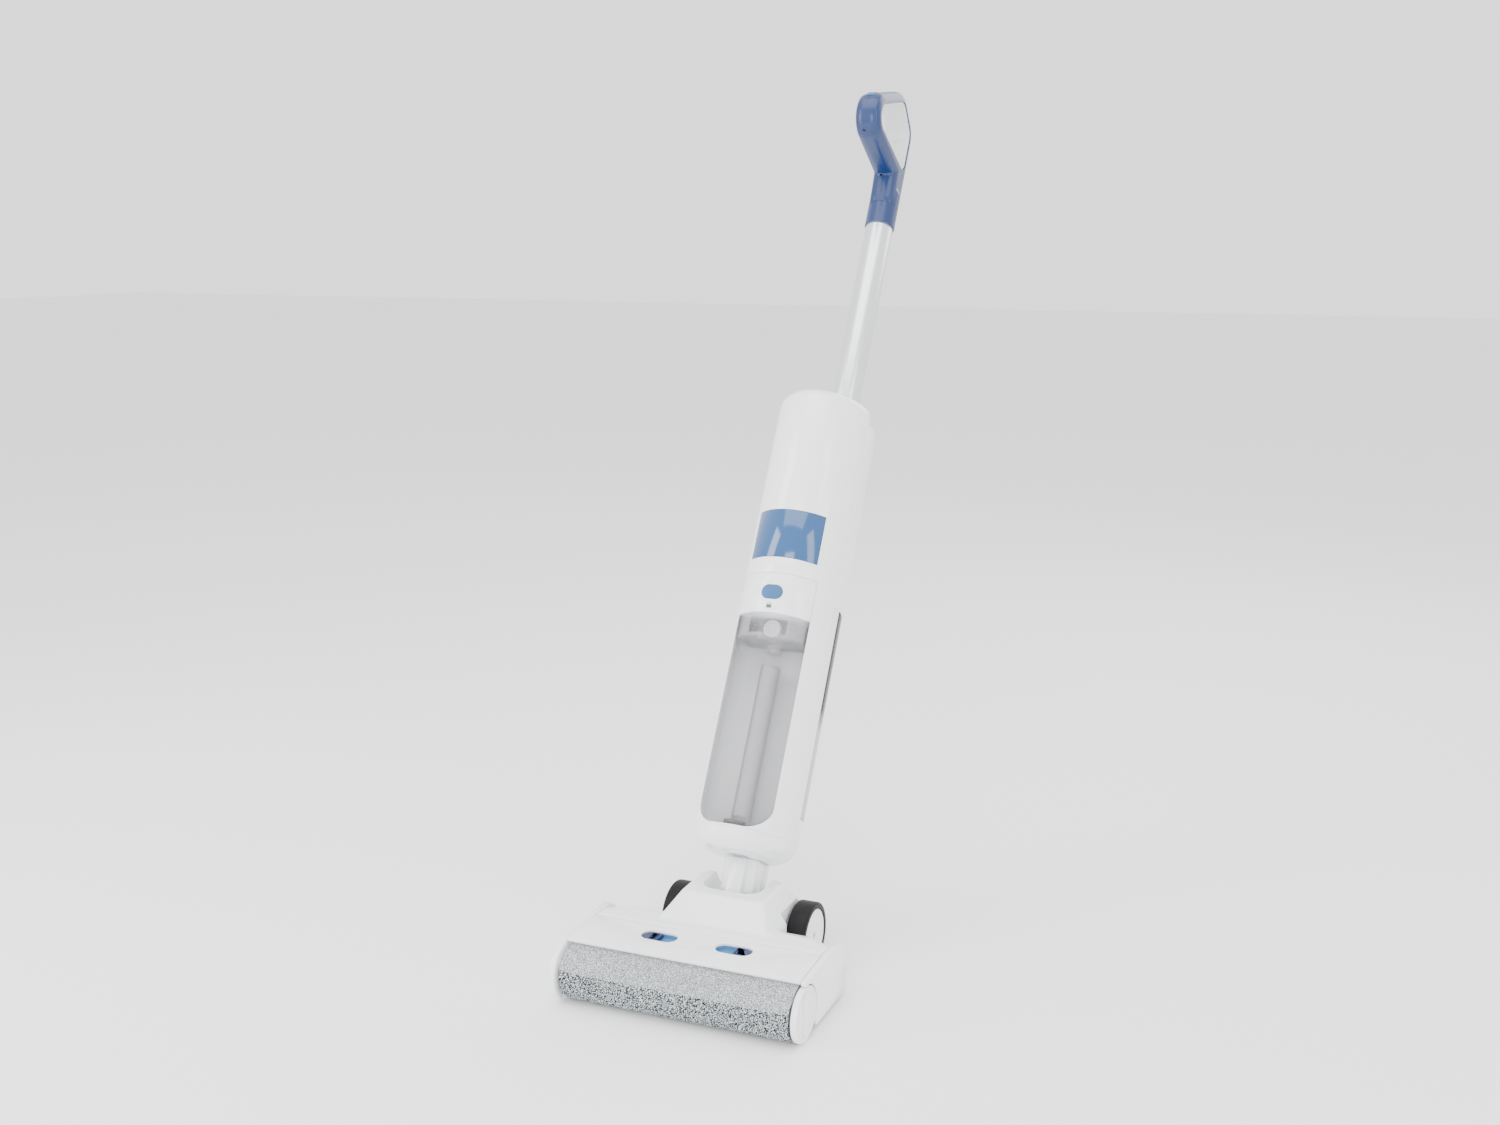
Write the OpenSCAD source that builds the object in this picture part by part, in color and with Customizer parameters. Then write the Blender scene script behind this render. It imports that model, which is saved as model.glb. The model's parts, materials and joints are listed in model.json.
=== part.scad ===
// Cordless roller floor washer, leaning back in its working position.
// Right-handed frame, millimetres, +Z up, roller at the front (-Y), floor at z = 0.

/* [Floor head] */
// Outer radius of the microfibre roller
roller_r = 29; // [27:1:30]
// Length of the microfibre sleeve
roller_len = 252; // [236:2:254]
// Half width of the floor head over its side panels
head_w = 136; // [135:1:140]
// Height of the flat cover above the floor
cover_z = 66; // [65:1:68]
// Height of the hump above the floor
hump_z = 90; // [86:1:92]
// Travel gap between the roller and its tunnel
tunnel_gap = 2; // [2:0.5:2.5]
// Radius of the rear wheels
wheel_r = 36; // [34:1:38]
// Width of the rear wheels
wheel_w = 22; // [20:1:26]

/* [Tilt joint] */
// Lean of the body from upright
lean = 30; // [0:5:40]
// Height of the tilt hinge above the floor
hinge_z = 64; // [62:1:66]
// Tilt hinge behind the roller axis
hinge_y = 130; // [128:1:134]

/* [Upright body] */
// Half width of the body
body_a = 57; // [54:1:60]
// Depth of the body in front of its axis
body_b = 70; // [66:1:74]
// Depth of the body behind its axis
body_c = 64; // [62:1:68]
// Wall of the body shells
wall = 3; // [2.5:0.5:4]
// Height of the front shell above the hinge
body_top = 589; // [580:1:600]
// Height of the rear shell above the hinge
rear_top = 574; // [566:1:576]

/* [Tanks and display] */
// Half width of the dirty water tank
tank_w = 42; // [40:1:44]
// Top of the dirty water tank above the hinge
tank_top = 316; // [312:1:320]
// Bottom of the dirty water tank above the hinge
tank_bottom = 82; // [80:1:86]
// Lower edge of the display window above the hinge
display_z = 381; // [378:1:384]
// Height of the display window
display_h = 56; // [50:1:58]

/* [Tube and handle] */
// Radius of the aluminium tube
tube_r = 17; // [15:0.5:17.5]
// Tube behind the body axis
tube_y = 42; // [38:1:44]
// Top of the visible tube above the hinge
tube_top = 856; // [840:2:870]
// Half width of the handle
grip_w = 16; // [14:0.5:18]

/* [Hidden] */
$fn = 48;
centre_y = 322.5;
slack = 0.3;
seam_y = -15;
section_sides = 48;
bay_r = roller_r + tunnel_gap;
guard_r = bay_r + 1.6;
inner_w = head_w - 7;
panel_top = tank_top + 46;
clean_bottom = 108;
clean_top = 344;
button_z = 340;
fan_z = 470;
knob_z = 304;
hose = [8, 28.5];
cup_z = 56;
cup_r = 26;
guard_z = 40;
wheel_x = 62;
window_r = 25;
slot_w = 34;
slot_front = 116;
slot_r = 16;
axle_y = 160;
motor_y = 78;
motor_z = 40;
belt_x = -head_w + 2.6;
lobe = [48, 955];
handle_base = 800;

// ---- placing ----
module in_head() translate([0, -centre_y, 0]) children();
module in_body() in_head() translate([0, hinge_y, hinge_z]) rotate([-lean, 0, 0]) children();
module along_x(r, x0, x1) translate([x0, 0, 0]) rotate([0, 90, 0]) cylinder(r = r, h = x1 - x0);
module along_y(r, y0, y1) translate([0, y0, 0]) rotate([-90, 0, 0]) cylinder(r = r, h = y1 - y0);
module block(lo, hi) translate(lo) cube(hi - lo);
module both_sides() { children(); mirror([1, 0, 0]) children(); }
// Profile in the Y-Z plane, extruded along X
module side_profile(x0, x1) translate([x0, 0, 0]) rotate([90, 0, 90]) linear_extrude(x1 - x0) children();

// ---- body section: two half ellipses ----
function ring(inset = 0, n = section_sides) = [for (i = [0 : n - 1]) let (t = 360 * i / n)
    [(body_a - inset) * sin(t), -((cos(t) > 0 ? body_b : body_c) - inset) * cos(t)]];
module prism(z0, z1, inset = 0) translate([0, 0, z0]) linear_extrude(z1 - z0) polygon(ring(inset));
// Stack of rings; each step is [height, inset]
module rounded(steps) {
    n = section_sides;
    last = len(steps) - 1;
    polyhedron(
        [for (s = steps, p = ring(s[1])) [p[0], p[1], s[0]]],
        concat([[for (i = [0 : n - 1]) i]],
            [for (k = [0 : last - 1], i = [0 : n - 1]) let (j = (i + 1) % n)
                [k * n + i, (k + 1) * n + i, (k + 1) * n + j, k * n + j]],
            [[for (i = [n - 1 : -1 : 0]) last * n + i]]));
}
function round_top(z, r) = [for (t = [0 : 15 : 90]) [z - r + r * sin(t), r - r * cos(t)]];
function round_bottom(z, r) = [for (t = [90 : -15 : 0]) [z + r - r * sin(t), r - r * cos(t)]];

// ---- floor head: housing ----
module head_outline(z0, z1, edge = 0) translate([0, 0, z0]) linear_extrude(z1 - z0)
    polygon([[-inner_w + edge, 58], [-inner_w + edge, 96], [-104, 112 - edge], [104, 112 - edge],
        [inner_w - edge, 96], [inner_w - edge, 58]]);
module head_base() color("white") in_head() difference() {
    union() {
        block([-inner_w, 21, 4], [inner_w, 111, 7]);
        block([-58, 108, 4], [58, 186, 8]);
        both_sides() block([inner_w - 2.7, 31.5, 6], [inner_w, 57.7, 56]);
        both_sides() block([slot_w + 12, 140, 8], [slot_w + 16, 182, 40]);
        difference() {
            translate([0, 0, roller_r]) along_x(guard_r, -inner_w, inner_w);
            translate([0, 0, roller_r]) along_x(bay_r, -inner_w - 1, inner_w + 1);
            block([-inner_w - 1, -50, -10], [inner_w + 1, 4, 80]);
            block([-inner_w - 1, -50, -10], [inner_w + 1, 60, 5]);
            block([-24.3, 20, 13.7], [24.3, 60, 32.3]);
        }
    }
    translate([0, axle_y, wheel_r]) along_x(4.05, -70, 70);
    translate([0, motor_y, motor_z]) along_x(2.6, -inner_w - 1, -112);
    at_screws() {
        translate([0, 0, 3]) cylinder(r = 3.3, h = 3);
        cylinder(r = 1.5, h = 8);
    }
}
module hump() hull() {
    block([-66, 72, 44], [66, 176, 62]);
    block([-58, 84, 44], [58, 186, 58]);
    block([-46, 106, hump_z - 2], [46, 158, hump_z]);
    block([-41, 102, hump_z - 2], [41, 163, hump_z]);
}
module slot() {
    for (x = [-1, 1]) translate([x * (slot_w - slot_r), slot_front + slot_r, -10])
        cylinder(r = slot_r, h = 120);
    block([slot_r - slot_w, slot_front, -10], [slot_w - slot_r, 210, 120]);
    block([-slot_w, slot_front + slot_r, -10], [slot_w, 210, 120]);
}
module head_top() color("white") in_head() difference() {
    union() {
        difference() {
            head_outline(7, cover_z + 1);
            head_outline(6, cover_z - 2, 3.6);
            block([-inner_w - 1, 50, 6], [inner_w + 1, 60.5, cover_z - 2]);
            block([-62, 70, 6], [62, 130, cover_z - 2]);
        }
        hump();
    }
    slot();
    block([-41, 96, 40], [41, 118, hump_z - 6]);
    both_sides() block([slot_w + 4, 112, 40], [56, 123, 80]);
    translate([0, hinge_y, hinge_z]) along_x(5.05, -60, 60);
    translate([0, motor_y, motor_z]) along_x(2.6, -inner_w - 1, -112);
    block([-48, 139, 43], [48, 200, 48]);
    both_sides() block([59, 121, 30], [80, 200, 76]);
}
module side_outline() polygon(concat([[-3, cover_z - 2], [58, cover_z + 0.5], [92, cover_z], [108, 57],
    [115, 43], [115, 9], [111, 5], [27, 5]],
    [for (t = [-36 : 12 : 96]) [(roller_r + 1) * cos(t), roller_r + (roller_r + 1) * sin(t)]]));
module side_panel_right() color("white") in_head() side_profile(inner_w + slack, head_w) side_outline();
module belt_path(grow) hull() {
    translate([0, roller_r]) circle(9.3 + grow);
    translate([motor_y, motor_z]) circle(8.3 + grow);
}
module side_panel_left() color("white") in_head() difference() {
    union() {
        side_profile(-head_w, -inner_w - slack) side_outline();
        intersection() {
            translate([0, 0, roller_r]) along_x(guard_r, -head_w, -inner_w - slack);
            block([-head_w, -60, 3], [0, 60, 90]);
        }
    }
    side_profile(-head_w + 2, -inner_w) belt_path(4);
}
module suction_duct() color("dimgray") in_head() difference() {
    block([-24, 33, 14], [24, 112, 32]);
    block([-21, 32, 17], [21, 113, 29]);
}
module scraper_strip() color("darkslategray") in_head()
    block([-inner_w + 6, 19.3, 1.5], [inner_w - 6, 21, 5]);
module at_screws() for (x = [-100, -40, 40, 100]) translate([x, 78, 0]) children();
module head_screws() color("silver") in_head() at_screws() {
    translate([0, 0, 4.3]) cylinder(r = 3.2, h = 1.7);
    translate([0, 0, 5.9]) cylinder(r = 1.5, h = 1.1);
}

// ---- floor head: drive ----
module brush_motor() color("gray") in_head() translate([0, motor_y, motor_z]) {
    along_x(14, -112, -72);
    along_x(2, belt_x, -111.9);
}
module motor_pulley() color("goldenrod") in_head() translate([0, motor_y, motor_z]) difference() {
    along_x(8, belt_x + 0.1, belt_x + 3.6);
    along_x(2.05, -head_w, -120);
}
module drive_pulley() color("goldenrod") in_head() translate([0, 0, roller_r]) {
    along_x(9, belt_x, belt_x + 3.6);
    along_x(7, belt_x + 3.5, -roller_len / 2 + 6);
}
module drive_belt() color("black") in_head() side_profile(belt_x + 0.4, belt_x + 3.2) difference() {
    belt_path(1.4);
    belt_path(0);
}

// ---- wheels ----
module tyre(side) color("#25272A") in_head() translate([0, axle_y, wheel_r]) difference() {
    along_x(wheel_r, side > 0 ? wheel_x : -wheel_x - wheel_w, side > 0 ? wheel_x + wheel_w : -wheel_x);
    along_x(wheel_r - 7, -200, 200);
}
module hub(side) color("white") in_head() translate([0, axle_y, wheel_r]) difference() {
    along_x(wheel_r - 7, side > 0 ? wheel_x + 1 : -wheel_x - wheel_w + 1,
        side > 0 ? wheel_x + wheel_w - 1 : -wheel_x - 1);
    along_x(4.05, side > 0 ? 60 : -80, side > 0 ? 80 : -60);
}
module left_tyre() tyre(-1);
module right_tyre() tyre(1);
module left_hub() hub(-1);
module right_hub() hub(1);
module wheel_axles() color("silver") in_head() both_sides() translate([0, axle_y, wheel_r])
    along_x(4, slot_w + 12, 79);

// ---- roller ----
module roller_sleeve() color("#A9B3B4") in_head() translate([0, 0, roller_r]) difference() {
    along_x(roller_r, -roller_len / 2, roller_len / 2);
    along_x(22, -200, 200);
}
module roller_core() color("lightgray") in_head() translate([0, 0, roller_r]) difference() {
    along_x(22, -roller_len / 2 + 1, roller_len / 2 - 1);
    along_x(7.3, -roller_len / 2, -roller_len / 2 + 8);
    along_x(5.05, roller_len / 2 - 26, roller_len / 2);
    along_x(18, -roller_len / 2 + 12, roller_len / 2 - 30);
}
module roller_cap() color("white") in_head() translate([0, 0, roller_r]) {
    along_x(5, roller_len / 2 - 24, roller_len / 2 + 3);
    difference() {
        along_x(roller_r - 0.5, roller_len / 2 + 2.5, head_w - 1);
        along_x(24, head_w - 3, head_w);
    }
    block([head_w - 3.5, -4, -22], [head_w, 4, 22]);
}
module cap_seal() color("black") in_head() translate([0, 0, roller_r]) difference() {
    along_x(roller_r - 1.5, roller_len / 2 + 1, roller_len / 2 + 2.5);
    along_x(20, 0, 200);
}

// ---- lift-off roller cover ----
module latch_hole(x) for (dx = [-10, 10]) translate([x + dx, 36, cover_z - 8]) cylinder(r = 10, h = 20);
module latch_slot(x) { latch_hole(x); block([x - 10, 26, cover_z - 8], [x + 10, 46, cover_z + 8]); }
module roller_cover() color("white") in_head() difference() {
    side_profile(-inner_w, inner_w) polygon([[-3, cover_z - 2], [-3, cover_z - 5.4],
        [2.5, cover_z - 5], [8, cover_z - 3.4], [20, cover_z - 3], [52, cover_z - 3], [57.6, cover_z - 1.6],
        [57.6, cover_z + 0.8]]);
    latch_slot(-42);
    latch_slot(42);
}
module latch_plates() color("#7FA9D6") in_head() for (x = [-42, 42]) difference() {
    block([x - 21.5, 24.5, cover_z - 8], [x + 21.5, 47.5, cover_z - 3]);
    translate([0, 0, 1.5]) latch_slot(x);
}
module slider(side) in_head() difference() {
    intersection() {
        block([side * 52 - 10, 24, cover_z - 6.2], [side * 52 + 10, 48, cover_z - 1.6]);
        translate([0, 0, 1]) union() {
            translate([side * 52, 36, cover_z - 8]) cylinder(r = 9.6, h = 20);
            block([side * 47 - 5, 26.4, cover_z - 8], [side * 47 + 5, 45.6, cover_z]);
        }
    }
    for (dx = [-3, 0, 3]) block([side * 48 + dx - 0.6, 30, cover_z - 2.4], [side * 48 + dx + 0.6, 42, cover_z]);
}
module latch_slider_left() color("#23438A") slider(-1);
module latch_slider_right() color("#23438A") slider(1);
module latch_springs() color("silver") in_head() both_sides() translate([0, 36, cover_z - 9.2])
    along_x(1.2, 34, 50);
module splash_guard() color("#DDE6EA") in_head() intersection() {
    translate([0, 0, roller_r]) difference() {
        along_x(guard_r, -inner_w, inner_w);
        along_x(bay_r, -200, 200);
    }
    union() {
        block([-inner_w, -60, guard_z + 12], [inner_w, -3, cover_z]);
        block([-inner_w + 12, -60, guard_z], [inner_w - 12, -3, guard_z + 13]);
        both_sides() translate([inner_w - 12, 0, guard_z + 12]) along_y(12, -60, -3);
    }
}

// ---- tilt joint and neck ----
module neck_yoke() color("dimgray") in_body() difference() {
    union() {
        block([-13, -6, -12], [13, 12, 12]);
        along_x(10, -27, 27);
        block([-10, 4, -15.1], [10, 19, -11.9]);
        block([-4, 10, -15.1], [20, 40, -12.5]);
    }
    block([-13.5, -13, -30], [13.5, -6.2, 30]);
    along_x(5, -40, 40);
    along_y(3.55, -20, 20);
    translate([hose[0], hose[1], -20]) cylinder(r = 7.5, h = 12);
}
module hinge_pins() color("silver") in_body() both_sides() along_x(5, 14, 56);
module water_hose() color("#1B1C1E") in_body() for (k = [0 : 4]) translate([hose[0], hose[1], -18 + 5.6 * k]) {
    cylinder(r = 9, h = 2.9);
    translate([0, 0, 2.8]) cylinder(r = 7.5, h = 2.9);
}
module roll_pin() color("silver") in_body() along_y(3.5, -11.8, 17.8);
module neck_socket() color("white") in_body() difference() {
    union() {
        intersection() {
            block([-20, -9, 18], [20, 18, cup_z]);
            translate([0, 20, 17]) cylinder(r = 29, h = cup_z - 16);
        }
        block([-9, -12, -8], [9, -6.5, cup_z]);
        block([-9, 12.5, -8], [9, 18, 20]);
        translate([hose[0], hose[1], 17]) cylinder(r = 13, h = cup_z - 17);
    }
    along_y(3.5, -30, 30);
    translate([hose[0], hose[1], 0]) cylinder(r = 9.5, h = 60);
}

// ---- upright body ----
module front_half(z0, z1) block([-80, -90, z0], [80, seam_y, z1]);
// Tank window seen from the front: square above, large round corners below
module window(grow) rotate([90, 0, 0]) linear_extrude(90) {
    r = window_r + grow;
    w = tank_w + grow;
    z = tank_bottom - grow;
    for (x = [r - w, w - r]) translate([x, z + r]) circle(r);
    translate([r - w, z]) square([2 * (w - r), r]);
    translate([-w, z + r]) square([2 * w, panel_top + grow - z - r]);
}
module main_housing() color("white") in_body() difference() {
    union() {
        intersection() {
            rounded(round_top(body_top, 15));
            front_half(body_top - 20, body_top + 1);
        }
        intersection() { prism(panel_top, body_top - 15); front_half(panel_top, body_top); }
        intersection() { prism(tank_bottom - 2, panel_top); block([-80, -90, 0], [80, 0, panel_top]); }
        rounded(concat(round_bottom(cup_z, cup_r), [[clean_bottom - 1, 0]]));
    }
    for (z = [[tank_bottom, fan_z - 12], [fan_z - 8, body_top - 15]]) intersection() {
        prism(z[0], z[1], wall);
        block([-80, -90, 0], [80, -3, 900]);
    }
    translate([0, -16, 0]) cylinder(r = 12, h = 500);
    prism(cup_z + 6, 78, 18);
    block([-80, seam_y, clean_top], [80, 90, 900]);
    intersection() { prism(tank_bottom, 104, wall); block([-80, 3, 0], [80, 90, 200]); }
    difference() {
        window(slack);
        block([-80, -30, 0], [80, 1, 900]);
    }
    block([-39.3, -90, display_z - slack], [39.3, -30, display_z + display_h + slack]);
    block([-11, -20, 70], [11, 20, 90]);
}
module rear_shell() color("white") in_body() difference() {
    intersection() {
        union() {
            prism(clean_top + slack, rear_top - 12);
            rounded(round_top(rear_top, 12));
        }
        block([-80, seam_y + 0.2, clean_top], [80, 90, rear_top + 1]);
    }
    intersection() {
        prism(clean_top + 4, rear_top - 4, wall);
        block([-80, seam_y, 0], [80, 90, rear_top - 12]);
    }
    translate([0, tube_y, 480]) cylinder(r = tube_r, h = 120);
    for (x = [-24 : 8 : 24]) block([x - 1.5, 40, 396], [x + 1.5, 80, 420]);
}
module display_lens() color("#4A87BE") in_body() intersection() {
    difference() {
        prism(display_z, display_z + display_h);
        prism(display_z - 1, display_z + display_h + 1, 2.2);
    }
    block([-39, -90, display_z], [39, -30, display_z + display_h]);
}
module display_board() color("seagreen") in_body() block([-30, -50, display_z + 3], [30, -48, display_z + 53]);
module battery_case() color("#303236") in_body() difference() {
    block([-32, 0, clean_top + 4], [32, 43, 426]);
    block([-30, 2, 352], [30, 41, 427]);
}
module battery_cells() color("royalblue") in_body() for (x = [-19.5 : 19.5 : 19.5], y = [11.8, 31.2])
    translate([x, y, 353]) cylinder(r = 9, h = 65);
module motor_housing() color("gray") in_body() translate([0, -16, 0]) difference() {
    translate([0, 0, fan_z - 8]) cylinder(r = 31, h = 88);
    translate([0, 0, fan_z - 6]) cylinder(r = 28, h = 84);
    translate([0, 0, fan_z - 9]) cylinder(r = 12, h = 5);
}
module suction_motor() color("silver") in_body() translate([0, -16, 0]) difference() {
    translate([0, 0, fan_z + 18]) cylinder(r = 22, h = 60);
    translate([0, 0, fan_z + 17]) cylinder(r = 2.55, h = 50);
}
module fan_impeller() color("white") in_body() translate([0, -16, 0]) {
    translate([0, 0, fan_z]) cylinder(r = 25, h = 2);
    translate([0, 0, fan_z + 1.9]) cylinder(r = 2.5, h = 60);
    for (k = [0 : 6]) rotate([0, 0, 360 * k / 7]) block([7, -0.8, fan_z + 1.9], [24, 0.8, fan_z + 12]);
}
module water_pump() color("#404348") in_body() {
    block([-40, -40, display_z - 8], [-4, -16, display_z + 24]);
    translate([-22, -28, display_z + 23.9]) cylinder(r = 12, h = 26);
}
module exhaust_filter() color("ivory") in_body() block([-34, 20, 432], [34, 44, 472]);

// ---- dirty water tank ----
module tank_shape(z0, z1, inset = 0) intersection() {
    prism(z0, z1, inset);
    window(-inset);
    block([-80, -90, z0], [80, -5 - inset, z1]);
}
module dirty_tank() color("#D9D9DF") in_body() difference() {
    tank_shape(tank_bottom, tank_top);
    tank_shape(tank_bottom + 3, tank_top + 1, 2.5);
    translate([0, -44, 60]) cylinder(r = 9, h = 40);
}
module inlet_seal() color("#202124") in_body() translate([0, -44, tank_bottom + 3]) difference() {
    cylinder(r = 12, h = 4);
    translate([0, 0, -1]) cylinder(r = 8, h = 6);
}
module inlet_pipe() color("#E4E5E9") in_body() translate([0, -28, tank_bottom + 3]) difference() {
    cylinder(r = 11, h = 180);
    translate([0, 0, -1]) cylinder(r = 9, h = 182);
    translate([0, -14, -1]) cylinder(r = 12.3, h = 12);
}
module tank_lid() color("#E6E6EA") in_body() {
    difference() {
        tank_shape(tank_top - 26, tank_top, 2.8);
        tank_shape(tank_top - 24, tank_top + 1, 5);
        block([-22, -90, tank_top - 22], [22, -55, tank_top + 1]);
        translate([0, -28, tank_top - 40]) cylinder(r = 10, h = 20);
    }
    difference() {
        block([-19, -42, tank_top - 24.5], [19, -12, tank_top - 2]);
        translate([0, -28, tank_top - 40]) cylinder(r = 10, h = 20);
    }
}
module float_ball() color("#C8CBD0") in_body() translate([0, -28, tank_top - 36]) cylinder(r = 8, h = 8);
module filter_knob() color("#D4D5DA") in_body() translate([0, 0, knob_z]) difference() {
    along_y(10, -48, -42);
    along_y(7, -50, -46.5);
}
module tank_panel() color("white") in_body() difference() {
    intersection() {
        difference() {
            prism(tank_top + slack, panel_top);
            translate([0, 0, -1]) prism(tank_top + 3.3, panel_top - 3, wall);
        }
        block([-tank_w, -90, tank_top], [tank_w, -20, panel_top + 1]);
    }
    for (x = [-4, 4]) translate([x, -56, button_z]) rotate([90, 0, 0]) cylinder(r = 8.3, h = 30);
    block([-4, -90, button_z - 8.3], [4, -56, button_z + 8.3]);
}
module release_button() color("#5E93C4") in_body() {
    for (x = [-4, 4]) translate([x, 0, button_z]) along_y(8, -body_b - 0.2, -body_b + 8);
    block([-4, -body_b - 0.2, button_z - 8], [4, -body_b + 8, button_z + 8]);
}

// ---- clean water tank ----
module clean_shape(z0, z1, inset = 0) intersection() {
    prism(z0, z1, inset);
    block([-80, 0.5 + inset, z0], [80, 90, z1]);
}
module clean_tank() color("#CFD0D2") in_body() difference() {
    clean_shape(clean_bottom, clean_top - slack);
    clean_shape(clean_bottom + 3, clean_top - 3, 2.5);
    translate([0, 0, 300]) along_y(12, 40, 90);
}
module clean_tank_cap() color("#55555B") in_body() translate([0, 0, 300]) {
    along_y(11.9, 55, 66);
    along_y(16, body_c + 0.3, body_c + 5);
}

// ---- tube and handle ----
module tube() color("#C4C9CE") in_body() translate([0, tube_y, 486]) difference() {
    cylinder(r = tube_r, h = tube_top + 30 - 486);
    translate([0, 0, -1]) cylinder(r = tube_r - 1.6, h = 500);
}
module tube_collar() color("#3866A4") in_body() translate([0, tube_y, tube_top]) difference() {
    cylinder(r = tube_r + 1, h = 34);
    translate([0, 0, -1]) cylinder(r = tube_r, h = 40);
}
// Loop outline, drawn as [forward, up] in the handle plane
module loop(grow) {
    hull() {
        translate(lobe) circle(30 + grow);
        translate([-6, 993]) circle(30 + grow);
        translate([-33, 984]) circle(27 + grow);
        translate([-40, 940]) circle(21 + grow);
    }
    hull() {
        translate([-40, 940]) circle(21 + grow);
        translate([-tube_y, 893]) circle(18 + grow);
    }
}
module eye(grow) hull() {
    translate(lobe) circle(14 + grow);
    translate([-7, 992]) circle(16 + grow);
    translate([-31, 983]) circle(14 + grow);
    translate([-35, 950]) circle(10 + grow);
}
module in_loop(x0, x1) rotate([90, 0, -90]) translate([0, 0, -x1]) linear_extrude(x1 - x0) children();
module cover_strip() intersection() {
    difference() { loop(0); loop(-2.5); }
    union() {
        polygon([lobe, lobe + [60, 8], lobe + [60, -60], [-10, 880]]);
        polygon([lobe, [-10, 880], [-18, 905], [-10, 935]]);
    }
}
module handle_half() in_body() difference() {
    in_loop(0, grip_w) difference() {
        loop(0);
        eye(3);
    }
    in_loop(-1, 10) cover_strip();
    translate([0, tube_y, handle_base]) cylinder(r = tube_r + 1, h = tube_top + 34 - handle_base);
    translate([0, tube_y, handle_base]) cylinder(r = tube_r, h = tube_top + 30 - handle_base);
    on_lobe(40) block([-5.2, -5.2, -4.6], [5.2, 5.2, 4]);
    on_lobe(60) block([-5.2, -1.9, -4.6], [5.2, 1.9, 4]);
}
module handle_right() color("#3866A4") handle_half();
module handle_left() color("#3866A4") mirror([1, 0, 0]) handle_half();
module grip_lining() color("#CFD0D2") in_body() in_loop(-grip_w + 1, grip_w - 1) difference() {
    eye(3);
    eye(0);
}
module handle_cover() color("#3866A4") in_body() in_loop(-9.8, 9.8) cover_strip();
// Spot on the front of the loop; local +Z points out of the surface
module on_lobe(angle) translate([0, -lobe[0], lobe[1]]) rotate([90 - angle, 0, 0]) translate([0, 0, 30]) children();
module power_button() color("#5E93C4") in_body() on_lobe(40) block([-5, -5, -3], [5, 5, 0.6]);
module mode_button() color("#5E93C4") in_body() on_lobe(60) block([-5, -1.6, -3], [5, 1.6, 0.6]);

head_base();
head_top();
side_panel_left();
side_panel_right();
brush_motor();
drive_belt();
scraper_strip();
wheel_axles();
suction_duct();
head_screws();
left_tyre();
left_hub();
right_tyre();
right_hub();
roller_cover();
splash_guard();
latch_plates();
latch_slider_left();
latch_slider_right();
latch_springs();
roller_cap();
cap_seal();
roller_core();
roller_sleeve();
drive_pulley();
motor_pulley();
neck_yoke();
hinge_pins();
water_hose();
neck_socket();
roll_pin();
main_housing();
rear_shell();
display_lens();
display_board();
battery_case();
battery_cells();
motor_housing();
suction_motor();
fan_impeller();
water_pump();
exhaust_filter();
dirty_tank();
tank_panel();
tank_lid();
filter_knob();
inlet_pipe();
inlet_seal();
float_ball();
release_button();
clean_tank();
clean_tank_cap();
tube();
tube_collar();
handle_left();
handle_right();
handle_cover();
grip_lining();
power_button();
mode_button();
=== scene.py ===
import json
import math
import random

import bmesh
import bpy
from mathutils import Matrix, Vector


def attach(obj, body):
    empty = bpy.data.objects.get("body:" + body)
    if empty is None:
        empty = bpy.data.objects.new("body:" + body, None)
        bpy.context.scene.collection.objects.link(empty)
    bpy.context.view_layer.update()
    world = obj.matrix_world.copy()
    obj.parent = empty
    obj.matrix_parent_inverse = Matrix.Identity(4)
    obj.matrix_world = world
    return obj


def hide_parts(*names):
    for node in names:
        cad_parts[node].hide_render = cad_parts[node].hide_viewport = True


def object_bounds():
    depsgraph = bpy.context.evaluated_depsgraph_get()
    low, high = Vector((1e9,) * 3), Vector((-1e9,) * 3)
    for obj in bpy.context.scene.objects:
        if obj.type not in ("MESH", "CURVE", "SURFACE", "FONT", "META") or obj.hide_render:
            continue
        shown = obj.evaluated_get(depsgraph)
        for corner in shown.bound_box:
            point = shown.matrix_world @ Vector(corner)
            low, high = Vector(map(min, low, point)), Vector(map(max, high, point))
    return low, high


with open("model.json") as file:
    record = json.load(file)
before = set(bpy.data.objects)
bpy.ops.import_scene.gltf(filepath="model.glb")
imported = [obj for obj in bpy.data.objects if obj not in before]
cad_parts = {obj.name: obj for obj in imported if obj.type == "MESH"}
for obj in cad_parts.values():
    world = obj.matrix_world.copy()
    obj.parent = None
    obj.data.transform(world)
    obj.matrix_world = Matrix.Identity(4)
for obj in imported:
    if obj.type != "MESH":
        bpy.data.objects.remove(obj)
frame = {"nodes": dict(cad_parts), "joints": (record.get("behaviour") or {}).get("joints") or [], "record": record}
cad_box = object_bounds()

# ---- Camera, floor and light ----
# A camera at about table height, turned to show the roller's end cap, over a plain pale floor.
# Two tall soft boxes stand at the sides, a wide one hangs above, and one behind and one in front fill
# the shadows. The white world lights the rest.
MM = 0.001
joints = {joint["name"]: joint for joint in frame["joints"]}
roller_centre = Vector(joints["roller_spin"]["pos_m"])
view_turn, view_pitch = math.radians(22.8), math.radians(11.6)
view_slide, view_rise, view_distance = 69 * MM, 461.5 * MM, 1663 * MM
focal_length, sensor_width = 39.3, 36

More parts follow.
